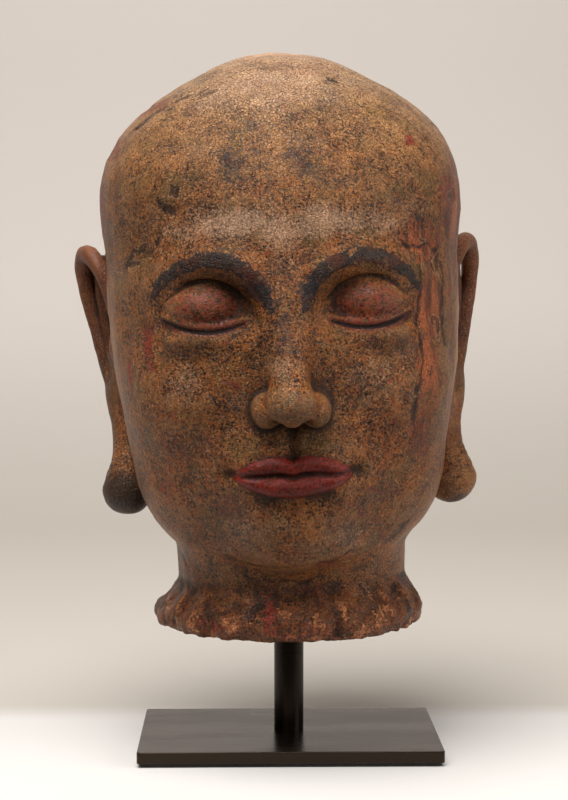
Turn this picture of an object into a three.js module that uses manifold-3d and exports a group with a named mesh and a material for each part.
// A luohan's head on its display stand: a lacquered head on a steel rod, a steel plate and a felt pad.
// Millimetres, +Z up, the face looks along -Y. The origin is under the middle of the felt pad.
import * as THREE from "three";
import { mergeVertices } from "three/addons/utils/BufferGeometryUtils.js";
import Module from "manifold-3d";

// Stand
const plateWidth = 150;
const plateDepth = 100;
const plateThickness = 6;
const plateCorner = 1.6;
const plateEdge = 0.6;
const feltThickness = 1.8;
const feltInset = 1;
const postDiameter = 15;
const postFit = 0.3;
const seatDepth = 4;
const postInHead = 60;
const neckGap = 54.5;

// Head, over everything: underside to crown, ear to ear, nose to the back of the skull
const headHeight = 290.6;
const headWidth = 212.5;
const headDepth = 211;
const headLean = 2;
const headAside = 3;

const colours = { lacquer: 0x8a6440, steel: 0x1c1a19, felt: 0x17120f };

// The head is carved in units of its own canon and then brought to the sizes above.
const faceHeight = 253.5;
const chinZ = 35;
const crownZ = chinZ + faceHeight;
const eyeZ = chinZ + faceHeight / 2;
const hairlineZ = crownZ - 0.16 * faceHeight;
const third = (hairlineZ - chinZ) / 3;
const browZ = hairlineZ - third;
const noseZ = browZ - third;
const mouthZ = noseZ - third / 3;
const eyeX = 37;
const neck = { width: 58.5, depth: 61, back: 3, aside: 2.6, top: 75, blend: 9 };
const neckFlare = { width: 8, from: 5, to: 27 };

const wasm = await Module();
wasm.setup();

const mix = (a, b, t) => a + (b - a) * t;
const clamp01 = (t) => Math.min(1, Math.max(0, t));
const ease = (t) => clamp01(t) ** 2 * (3 - 2 * clamp01(t));
const degrees = (angle) => THREE.MathUtils.degToRad(angle);

// A rounded mass: its middle, its three radii and how softly it melts into what is there
const mass = (at, radii, blend) => ({ at, radii, blend, cut: false });
const hollow = (at, radii, blend) => ({ at, radii, blend, cut: true });
// A stroke of lacquer or of the knife along points [x, y, z, radius].
const ridge = (path, blend) => ({ path, blend, cut: false });
const groove = (path, blend) => ({ path, blend, cut: true });

// Both halves are alike, so x is measured from the middle.
const skullForms = [
  mass([0, 6, 190], [88.3, 97, crownZ - 190], 0),
  mass([41, 4, 220.5], [48, 75, 44.3], 14),
  mass([0, -8, 122], [82, 78, 84], 34),
  mass([0, -4, 88], [73, 70, 52], 18),
  mass([34, -24, 76], [37, 42, 36], 14),
  mass([0, 34, 118], [64, 50, 72], 26),
  mass([42, -42, 118], [30, 34, 32], 18),
  mass([0, -60, chinZ + 21], [25, 23, 19], 16),
  mass([0, -30, chinZ + 12], [40, 42, 14], 12),
];

const browPath = [
  [9, -84, browZ - 10, 4],
  [18, -85, browZ + 1, 4.6],
  [32, -80, browZ + 6, 4.6],
  [47, -72, browZ + 4, 4.4],
  [60, -60, browZ - 4, 4],
];
const eyeForms = [
  hollow([eyeX, -96, eyeZ + 3], [25, 20, 14], 12),
  ridge(browPath, 10),
  mass([eyeX, -68, eyeZ], [20, 16.5, 14.5], 3),
];

const noseForms = [
  ridge([[0, -82, browZ - 3, 8], [0, -99, noseZ + 12, 9.5]], 9),
  mass([0, -99, noseZ + 10], [12, 12, 9.5], 5),
  mass([11.5, -90, noseZ + 7.5], [7, 11, 8.2], 3),
];

const upperLip = [
  [0, -91, mouthZ + 5, 3.2],
  [9, -91, mouthZ + 6, 3.6],
  [19, -87, mouthZ + 3.8, 2.6],
  [27, -81, mouthZ + 1.5, 1.4],
];
const lowerLip = [[0, -89.5, mouthZ - 5, 4.8], [12, -88, mouthZ - 4, 4.4], [23, -82.5, mouthZ - 1, 2.2]];
const lipLine = [[0, -97, mouthZ, 2.4], [14, -95, mouthZ + 0.4, 2.4], [29, -86, mouthZ + 1.8, 1.8]];
const mouthForms = [
  mass([0, -62, mouthZ + 2], [35, 26, 26], 20),
  ridge(upperLip, 4),
  ridge(lowerLip, 4),
  groove(lipLine, 3),
];

const headForms = [...skullForms, ...eyeForms, ...noseForms, ...mouthForms];

// An ear stands out from the head at an angle. A place on it is given by how far it lies
// behind the ear's root, how far outside the ear's blade, and its height.
const earTurn = 22;
const earRoots = [[190, 87], [167, 83.7], [147, 81.2], [130, 80.4], [96, 77.6], [50, 74]];
const earBack = { at: 12, height: 165, slope: 0.12 };

function earAt(behind, outside, z, radius) {
  const i = Math.max(1, earRoots.findIndex((root) => root[0] <= z));
  const [upper, lower] = [earRoots[i - 1], earRoots[i]];
  const rootX = mix(upper[1], lower[1], clamp01((upper[0] - z) / (upper[0] - lower[0])));
  const rootY = earBack.at + earBack.slope * (z - earBack.height);
  const turn = degrees(earTurn);
  const x = rootX + behind * Math.sin(turn) + outside * Math.cos(turn);
  const y = rootY + behind * Math.cos(turn) - outside * Math.sin(turn);
  return radius === undefined ? [x, y, z] : [x, y, z, radius];
}

const earRoot = { at: earAt(13, -10, 152), radii: [14, 9, 34] };
const earBlade = { at: earAt(17, -3.5, 160), radii: [19, 4.5, 35] };
const earBand = { at: earAt(17, -3.5, 118), radii: [12, 7, 34] };
const earRim = [
  earAt(16, -1, 144, 3.6),
  earAt(4, 2, 160, 4.2),
  earAt(2, 2.5, 177, 4.8),
  earAt(10, 3, 188.5, 5),
  earAt(22, 2.5, 190, 5),
  earAt(31, 2, 182.5, 5),
  earAt(34, 1.5, 167, 5),
  earAt(31, 0.5, 147, 5.2),
  earAt(26, -1, 130, 6),
  earAt(20, -2, 112, 7),
];
const earLobe = [earAt(18, -3, 116, 7), earAt(15, -2, 96, 8), earAt(12, 3.4, 70, 13)];
const rimNet = { sides: 8, rows: 20 };
const lobeNet = { sides: 10, rows: 5 };
// Its right ear stands out further towards the top.
const earSpread = { from: 110, left: 0, right: 0.05 };

// Signed distance from an ellipsoid, near enough to walk by
function massDistance(x, y, z, { at, radii }) {
  const px = (x - at[0]) / radii[0];
  const py = (y - at[1]) / radii[1];
  const pz = (z - at[2]) / radii[2];
  const size = Math.hypot(px, py, pz);
  const slope = Math.hypot(px / radii[0], py / radii[1], pz / radii[2]);
  return slope === 0 ? -Math.min(...radii) : (size * (size - 1)) / slope;
}

// Signed distance from a round bar that follows a path and swells with its radii
function strokeDistance(x, y, z, { path }) {
  let nearest = Infinity;
  for (let i = 1; i < path.length; i++) {
    const [ax, ay, az, ar] = path[i - 1];
    const [bx, by, bz, br] = path[i];
    const along = [bx - ax, by - ay, bz - az];
    const dot = (x - ax) * along[0] + (y - ay) * along[1] + (z - az) * along[2];
    const t = clamp01(dot / (along[0] ** 2 + along[1] ** 2 + along[2] ** 2));
    const gap = Math.hypot(x - mix(ax, bx, t), y - mix(ay, by, t), z - mix(az, bz, t));
    nearest = Math.min(nearest, gap - mix(ar, br, t));
  }
  return nearest;
}

function softJoin(a, b, blend) {
  if (blend === 0) return Math.min(a, b);
  const share = Math.max(blend - Math.abs(a - b), 0) / blend;
  return Math.min(a, b) - (share * share * blend) / 4;
}

function formsDistance(x, y, z, forms) {
  return forms.reduce((sum, form) => {
    const d = form.path ? strokeDistance(x, y, z, form) : massDistance(x, y, z, form);
    return form.cut ? -softJoin(-sum, d, form.blend) : softJoin(sum, d, form.blend);
  }, Infinity);
}

// The neck is an oval column that flares towards its broken edge, a little to one side above it.
function neckDistance(x, y, z) {
  const rise = ease((z - neckFlare.from) / (neckFlare.to - neckFlare.from));
  const flare = neckFlare.width * (1 - rise);
  const across = neck.width + flare;
  const deep = neck.depth + flare;
  const column = (Math.hypot((x - neck.aside * rise) / across, (y - neck.back) / deep) - 1) * across;
  return Math.max(column, z - neck.top);
}

function headDistance(x, y, z) {
  const body = formsDistance(Math.abs(x - headAside), y, z, headForms);
  return softJoin(body, neckDistance(x, y, z), neck.blend);
}

// Walks in along a ray to the outermost surface and returns that point.
function wrap(from, direction, distance, reach) {
  const steps = 90;
  const caution = 0.75;
  const closeEnough = 0.005;
  const point = new THREE.Vector3();
  let far = reach;
  for (let i = 0; i < steps && far > 0; i++) {
    point.copy(direction).multiplyScalar(far).add(from);
    const gap = distance(point.x, point.y, point.z);
    if (gap < closeEnough) break;
    far -= gap * caution;
  }
  return point;
}

function rayOf(angle, tilt) {
  return new THREE.Vector3(
    Math.cos(angle) * Math.cos(tilt),
    Math.sin(angle) * Math.cos(tilt),
    Math.sin(tilt),
  );
}

// Spreads a ball's columns round the head, crowded at the face: turn is 0 and 1 at the back, 0.5 in front.
function azimuthOf(turn) {
  const crowding = 0.3;
  const t = 2 * turn - 1;
  return -Math.PI / 2 + Math.PI * mix(t ** 3, t, crowding);
}

// The rows of the head's net: the tilt of the ray, the height it starts from, and the rows down to here
const rowStops = [
  { tilt: 90, from: 165, rows: 0 },
  { tilt: 24, from: 165, rows: 8 },
  { tilt: -2, from: 165, rows: 8 },
  { tilt: -27, from: 165, rows: 6 },
  { tilt: -34, from: 160, rows: 5 },
  { tilt: -34, from: 128, rows: 7 },
  { tilt: -30, from: 78, rows: 5 },
  { tilt: -12, from: 14, rows: 5 },
];
const lastRow = rowStops.reduce((sum, stop) => sum + stop.rows, 0);

function rayOfRow(row) {
  let left = row;
  let i = 1;
  while (left > rowStops[i].rows) {
    left -= rowStops[i].rows;
    i += 1;
  }
  const t = left / rowStops[i].rows;
  return {
    tilt: degrees(mix(rowStops[i - 1].tilt, rowStops[i].tilt, t)),
    from: mix(rowStops[i - 1].from, rowStops[i].from, t),
  };
}

// The neck is broken off level under the leaning head, with shallow chips along the edge.
const rimTuck = 0.975;
const rimChips = [{ depth: 0.8, count: 3, shift: 1 }, { depth: 0.8, count: 8, shift: 0 }];
const levelZ = (x) => -x * Math.tan(degrees(headLean));
function rimZ(x, angle) {
  const waves = rimChips.map((chip) => chip.depth * Math.sin(chip.count * angle + chip.shift));
  return levelZ(x) + Math.max(0, waves.reduce((sum, wave) => sum + wave));
}

function headNet() {
  const columns = 68;
  const reach = 170;
  const net = new THREE.SphereGeometry(1, columns, lastRow + 1);
  const places = net.attributes.position;
  for (let i = 0; i < places.count; i++) {
    const row = Math.floor(i / (columns + 1));
    const turn = (i % (columns + 1)) / columns;
    const angle = azimuthOf(turn === 1 ? 0 : turn);
    const ray = rayOfRow(Math.min(row, lastRow));
    const start = new THREE.Vector3(0, 0, ray.from);
    const point = wrap(start, rayOf(angle, ray.tilt), headDistance, reach);
    if (row === lastRow) point.set(point.x * rimTuck, point.y * rimTuck, rimZ(point.x, angle));
    if (row > lastRow) point.set(0, 0, 0);
    places.setXYZ(i, point.x, point.y, point.z);
  }
  return net;
}

// A ball that is flattened and turned to lie along the ear
function ball({ at, radii }) {
  const columns = 14;
  const rows = 8;
  const net = new THREE.SphereGeometry(1, columns, rows).rotateX(Math.PI / 2).scale(...radii);
  return net.rotateZ(degrees(90 - earTurn)).translate(...at);
}

// A bar with round ends, drawn out of a ball along a path of [x, y, z, radius]
function bar(path, { sides, rows }) {
  const capRows = 3;
  const lastCap = capRows + rows;
  const outwards = new THREE.Vector3(...earAt(0, 1, 0)).sub(new THREE.Vector3(...earAt(0, 0, 0)));
  const curve = new THREE.CatmullRomCurve3(path.map(([x, y, z]) => new THREE.Vector3(x, y, z)));
  const net = new THREE.SphereGeometry(1, sides, rows + 2 * capRows);
  const places = net.attributes.position;
  for (let i = 0; i < places.count; i++) {
    const row = Math.floor(i / (sides + 1));
    const angle = ((i % (sides + 1)) / sides) * 2 * Math.PI;
    const t = clamp01((row - capRows) / rows);
    const first = Math.min(path.length - 2, Math.floor(t * (path.length - 1)));
    const radius = mix(path[first][3], path[first + 1][3], t * (path.length - 1) - first);
    const tilt = ((Math.max(0, capRows - row) - Math.max(0, row - lastCap)) / capRows) * (Math.PI / 2);
    const up = curve.getTangent(t).negate();
    const aside = up.clone().cross(outwards).normalize();
    const front = aside.clone().cross(up);
    const point = curve.getPoint(t);
    point.addScaledVector(front, radius * Math.cos(tilt) * Math.cos(angle));
    point.addScaledVector(aside, radius * Math.cos(tilt) * Math.sin(angle));
    point.addScaledVector(up, radius * Math.sin(tilt));
    places.setXYZ(i, point.x, point.y, point.z);
  }
  return net;
}

// Brings a net of the ear to one side of the head: 1 is the head's left, -1 its right
function earNet(net, side, spread) {
  const { index } = net;
  const places = net.attributes.position;
  for (let i = 0; i < places.count; i++) {
    const outwards = spread * Math.max(0, places.getZ(i) - earSpread.from);
    places.setX(i, headAside + side * (places.getX(i) + outwards));
  }
  // A mirrored net has its triangles turned round again
  for (let i = 0; side < 0 && i < index.count; i += 3) {
    const kept = index.getX(i + 1);
    index.setX(i + 1, index.getX(i + 2));
    index.setX(i + 2, kept);
  }
  return net;
}

// Solids for joining and cutting
function solidOf(geometry) {
  const bare = geometry.clone();
  bare.deleteAttribute("normal");
  bare.deleteAttribute("uv");
  const merged = mergeVertices(bare, 1e-4);
  const triangles = [];
  for (let i = 0; i < merged.index.count; i += 3) {
    const [a, b, c] = [0, 1, 2].map((k) => merged.index.getX(i + k));
    if (a !== b && b !== c && c !== a) triangles.push(a, b, c);
  }
  const vertProperties = merged.attributes.position.array;
  const triVerts = new Uint32Array(triangles);
  return new wasm.Manifold(new wasm.Mesh({ numProp: 3, vertProperties, triVerts }));
}

function geometryOf(solid) {
  const { vertProperties, triVerts } = solid.getMesh();
  const geometry = new THREE.BufferGeometry();
  geometry.setAttribute("position", new THREE.BufferAttribute(vertProperties, 3));
  geometry.setIndex(new THREE.BufferAttribute(triVerts, 1));
  return geometry;
}

function cylinder(radius, bottom, top) {
  const sides = 40;
  const bar = new THREE.CylinderGeometry(radius, radius, top - bottom, sides);
  return bar.rotateX(Math.PI / 2).translate(0, 0, (top + bottom) / 2);
}

const plateTop = feltThickness + plateThickness;
const neckBottom = plateTop + neckGap;
const postBottom = plateTop - seatDepth;
const postTop = neckBottom + postInHead;
const lean = new THREE.Matrix4().makeRotationY(-degrees(headLean));

function makeHead() {
  const ear = [ball(earRoot), ball(earBlade), ball(earBand), bar(earRim, rimNet), bar(earLobe, lobeNet)];
  const rightEar = ear.map((net) => earNet(net.clone(), -1, earSpread.right));
  const leftEar = ear.map((net) => earNet(net, 1, earSpread.left));
  const nets = [headNet(), ...leftEar, ...rightEar];
  const box = new THREE.Box3();
  nets.forEach((net) => box.union(new THREE.Box3().setFromBufferAttribute(net.attributes.position)));
  const carved = box.getSize(new THREE.Vector3());
  const toSize = [headWidth / carved.x, headDepth / carved.y, headHeight / carved.z];
  const whole = nets
    .map((net) => solidOf(net.scale(...toSize)))
    .reduce((sum, solid) => sum.add(solid));
  const drill = cylinder(postDiameter / 2 + postFit, -neckGap / 2, postInHead + postFit);
  const socket = solidOf(drill.applyMatrix4(lean.clone().invert()));
  const head = new THREE.Mesh(
    geometryOf(whole.subtract(socket)),
    new THREE.MeshStandardMaterial({ color: colours.lacquer, roughness: 0.6, metalness: 0 }),
  );
  head.name = "head";
  head.position.z = neckBottom;
  head.rotation.setFromRotationMatrix(lean);
  return head;
}

function makePost() {
  const post = new THREE.Mesh(
    cylinder(postDiameter / 2, postBottom + postFit, postTop),
    new THREE.MeshStandardMaterial({ color: colours.steel, roughness: 0.35, metalness: 0.6 }),
  );
  post.name = "post";
  return post;
}

function roundedRectangle(width, depth, corner) {
  const x = width / 2 - corner;
  const y = depth / 2 - corner;
  const outline = new THREE.Shape();
  outline.absarc(x, y, corner, 0, Math.PI / 2);
  outline.absarc(-x, y, corner, Math.PI / 2, Math.PI);
  outline.absarc(-x, -y, corner, Math.PI, 1.5 * Math.PI);
  outline.absarc(x, -y, corner, 1.5 * Math.PI, 2 * Math.PI);
  return outline;
}

function makePlate() {
  const slab = new THREE.ExtrudeGeometry(
    roundedRectangle(plateWidth - 2 * plateEdge, plateDepth - 2 * plateEdge, plateCorner),
    {
      depth: plateThickness - 2 * plateEdge,
      bevelThickness: plateEdge,
      bevelSize: plateEdge,
      bevelSegments: 2,
      curveSegments: 4,
    },
  ).translate(0, 0, feltThickness + plateEdge);
  const seat = cylinder(postDiameter / 2 + postFit, postBottom, plateTop + plateThickness);
  const plate = new THREE.Mesh(
    geometryOf(solidOf(slab).subtract(solidOf(seat))),
    new THREE.MeshStandardMaterial({ color: colours.steel, roughness: 0.4, metalness: 0.6 }),
  );
  plate.name = "base_plate";
  return plate;
}

function makeFelt() {
  const outline = roundedRectangle(plateWidth - 2 * feltInset, plateDepth - 2 * feltInset, plateCorner);
  const felt = new THREE.Mesh(
    new THREE.ExtrudeGeometry(outline, { depth: feltThickness, bevelEnabled: false, curveSegments: 4 }),
    new THREE.MeshStandardMaterial({ color: colours.felt, roughness: 1, metalness: 0 }),
  );
  felt.name = "felt_pad";
  return felt;
}

const luohanHead = new THREE.Group();
luohanHead.add(makeFelt(), makePlate(), makePost(), makeHead());

export default luohanHead;
